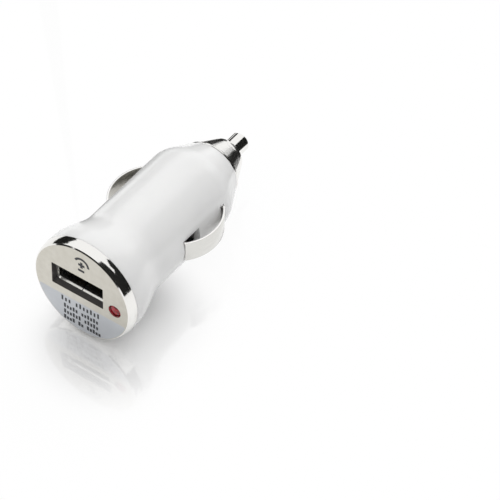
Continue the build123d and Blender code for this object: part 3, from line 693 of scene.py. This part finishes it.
# Bearing from, bearing to (0 is behind the nose, 90 on the right), and the heights of top and foot there.
card_heights = [
    (-27, 15, -0.1, CARD_LOW), (15, 28, 0.42, CARD_LOW), (60, 76, 1.15, CARD_LOW),
    (76, 125, 4.5, CARD_LOW), (125, 140, 0.30, CARD_LOW), (140, 181, 1.08, CARD_LOW),
    (-44, -27, 0.38, CARD_LOW), (-52, -44, 0.62, 0.21), (-84, -52, 0.78, CARD_LOW),
    (-145, -84, 0.30, CARD_LOW), (-181, -145, 1.08, CARD_LOW),
]
bpy.ops.object.select_all(action="DESELECT")
bpy.ops.mesh.primitive_cylinder_add(vertices=CARD_PANELS, radius=CARD_RADIUS, depth=CARD_HIGH - CARD_LOW,
                                    end_fill_type="NOTHING", location=(0, 0, (CARD_HIGH + CARD_LOW) / 2))
cards = bpy.context.object
cards.name = "dark_cards"
bpy.ops.object.transform_apply(location=True, rotation=True, scale=True)
for turn_from, turn_to, top, foot in card_heights:
    for now, wanted in ((CARD_HIGH, top), (CARD_LOW, foot)):
        pick(cards, "VERT", lambda point: abs(point.co.z - now) < CARD_EDGE
             and turn_from < math.degrees(math.atan2(point.co.x, point.co.y)) < turn_to)
        bpy.ops.transform.translate(value=(0, 0, wanted - now))
        bpy.ops.object.mode_set(mode="OBJECT")
print("points of the wall:", len(cards.data.vertices))

# %% Black of the cards
card_black, tree, shader, place = new_material("black_card", Roughness=1.0)
shader.inputs["Base Color"].default_value = linear("#262625")
shader.inputs["Specular IOR Level"].default_value = 0.0


def stand_in_reflections(piece, black):
    dress(piece, black)
    piece.visible_camera = False
    piece.visible_diffuse = False
    piece.visible_shadow = False
    piece.visible_transmission = False


stand_in_reflections(cards, card_black)
print("made", card_black.name)

# %% [markdown]
# ## Dark cloths on the table
# The polished nose leans back, so it mirrors the table close behind it. Two dark cloths lie there with a
# white strip left between them, and give the nose its black flanks. A third lies on the left and gives the
# far edge of the white body its thin grey outline. Each starts as a plane with one corner near the plug, and
# its two near sides are then slanted. The cloths are seen in reflections only, and only from above: their
# lower side lets light through, so that the table's own gloss doesn't show them.

# %% One-sided black
cloth_black = card_black.copy()
cloth_black.name = "black_cloth"
tree = cloth_black.node_tree
under = add_node(tree, "ShaderNodeNewGeometry").outputs["Backfacing"]
clear = add_node(tree, "ShaderNodeBsdfTransparent").outputs[0]
solid_side = tree.nodes["Principled BSDF"].outputs[0]
one_sided = add_node(tree, "ShaderNodeMixShader", {}, {0: under, 1: solid_side, 2: clear})
tree.links.new(one_sided.outputs[0], tree.nodes["Material Output"].inputs["Surface"])
print("made", cloth_black.name)

# %% Dark cloths
CLOTH_FAR, CLOTH_SIDE, CLOTH_LIFT = 1.2, 1.2, 0.5 * MM
# Name, side (-1 is left), near tip in metres, and the bearings of the inner and the outer edge.
cloths = [
    ("side_cloth", -1, (-0.014, 0.018), 18, 42),
    ("left_cloth", -1, (-0.009, 0.066), 22, 55),
    ("right_cloth", 1, (-0.002, 0.068), -12, 78),
]
for name, hand, (tip_x, tip_y), inner_bearing, outer_bearing in cloths:
    width, length = CLOTH_SIDE - hand * tip_x, CLOTH_FAR - tip_y
    bpy.ops.object.select_all(action="DESELECT")
    bpy.ops.mesh.primitive_plane_add(size=1.0,
                                     location=(tip_x + hand * width / 2, tip_y + length / 2, 0))
    cloth = bpy.context.object
    cloth.name = name
    bpy.ops.transform.resize(value=(width, length, 1))
    bpy.ops.object.transform_apply(location=True, rotation=True, scale=True)
    pick(cloth, "VERT",
         lambda point: point.co.y > CLOTH_FAR / 2 and abs(point.co.x) < CLOTH_SIDE / 2)
    bpy.ops.transform.translate(value=(hand * length * math.tan(math.radians(inner_bearing)), 0, 0))
    bpy.ops.object.mode_set(mode="OBJECT")
    pick(cloth, "VERT",
         lambda point: point.co.y < CLOTH_FAR / 2 and abs(point.co.x) > CLOTH_SIDE / 2)
    bpy.ops.transform.translate(value=(0, width / math.tan(math.radians(outer_bearing)), 0))
    bpy.ops.mesh.select_all(action="SELECT")
    bpy.ops.transform.translate(value=(0, -FLANGE_REST.y, 0))
    bpy.ops.object.mode_set(mode="OBJECT")
    cloth.rotation_euler = (slope, 0, 0)
    cloth.location = FLANGE_REST + Vector((0, 0, CLOTH_LIFT))
    stand_in_reflections(cloth, cloth_black)
print("cloths:", len(cloths))

# %% [markdown]
# ## Sky and sun
# One broad soft sun, high at the back, and a sky light the plug at a plain level, at which a colour comes out
# about as it is written. The sky is brighter overhead than at its rim, as in a studio with a pale ceiling.
# The camera and mirrors see it as plain white. The sun stays out of mirrors, where it would be a blot.

# %% Sky and sun
HORIZON_LEVEL, ZENITH_LEVEL, SEEN_LEVEL = 0.48, 0.90, 1.0
SUN_LEVEL, SUN_SPREAD = 1.05, math.radians(50)
SUN_BACK, SUN_LEFT = math.radians(-36), math.radians(-10)
scene = bpy.context.scene
scene.view_settings.view_transform = "Standard"
world = bpy.data.worlds.new("studio")
scene.world = world
world.use_nodes = True
sky = world.node_tree
background = sky.nodes["Background"]
heading = add_node(sky, "ShaderNodeTexCoord").outputs["Generated"]
height = add_node(sky, "ShaderNodeSeparateXYZ", links={"Vector": heading})
lit = add_node(sky, "ShaderNodeMapRange", {"To Min": HORIZON_LEVEL, "To Max": ZENITH_LEVEL},
               {"Value": height.outputs["Z"]})
strength = add_node(sky, "ShaderNodeMix", {NUMBER_B: SEEN_LEVEL},
                    {FACTOR: seen_directly(sky), NUMBER_A: lit.outputs[0]})
background.inputs["Color"].default_value = linear("#FFFFFF")
sky.links.new(strength.outputs[0], background.inputs["Strength"])

bpy.ops.object.light_add(type="SUN", rotation=(SUN_BACK, SUN_LEFT, 0))
sun = bpy.context.object
sun.data.energy = SUN_LEVEL
sun.data.angle = SUN_SPREAD
sun.visible_glossy = False
print("sky", HORIZON_LEVEL, "to", ZENITH_LEVEL, "and sun", SUN_LEVEL)

# %% [markdown]
# ## Camera
# The camera stands half a metre away, in front of the face, to the right and above, with a long lens that keeps
# the plug's sides nearly parallel. Its turn is made of three: round the upright axis, down towards the plug, and
# a slight roll.

# %% Camera
EYE = Vector((212.73, -261.18, 359.06)) * MM
AZIMUTH, ELEVATION, ROLL = math.radians(33.35), math.radians(45.79), math.radians(2.37)
LENS, CLIP_NEAR = 172.8, 0.01
bpy.ops.object.camera_add(location=EYE)
camera = bpy.context.object
camera.rotation_mode = "XYZ"
sideways = Matrix.Rotation(AZIMUTH, 3, "Z")
downwards = Matrix.Rotation(math.pi / 2 - ELEVATION, 3, "X")
turned = sideways @ downwards @ Matrix.Rotation(ROLL, 3, "Z")
camera.rotation_euler = turned.to_euler()
camera.data.lens = LENS
camera.data.clip_start = CLIP_NEAR
scene.camera = camera
print("camera is", round(EYE.length, 3), "m away")
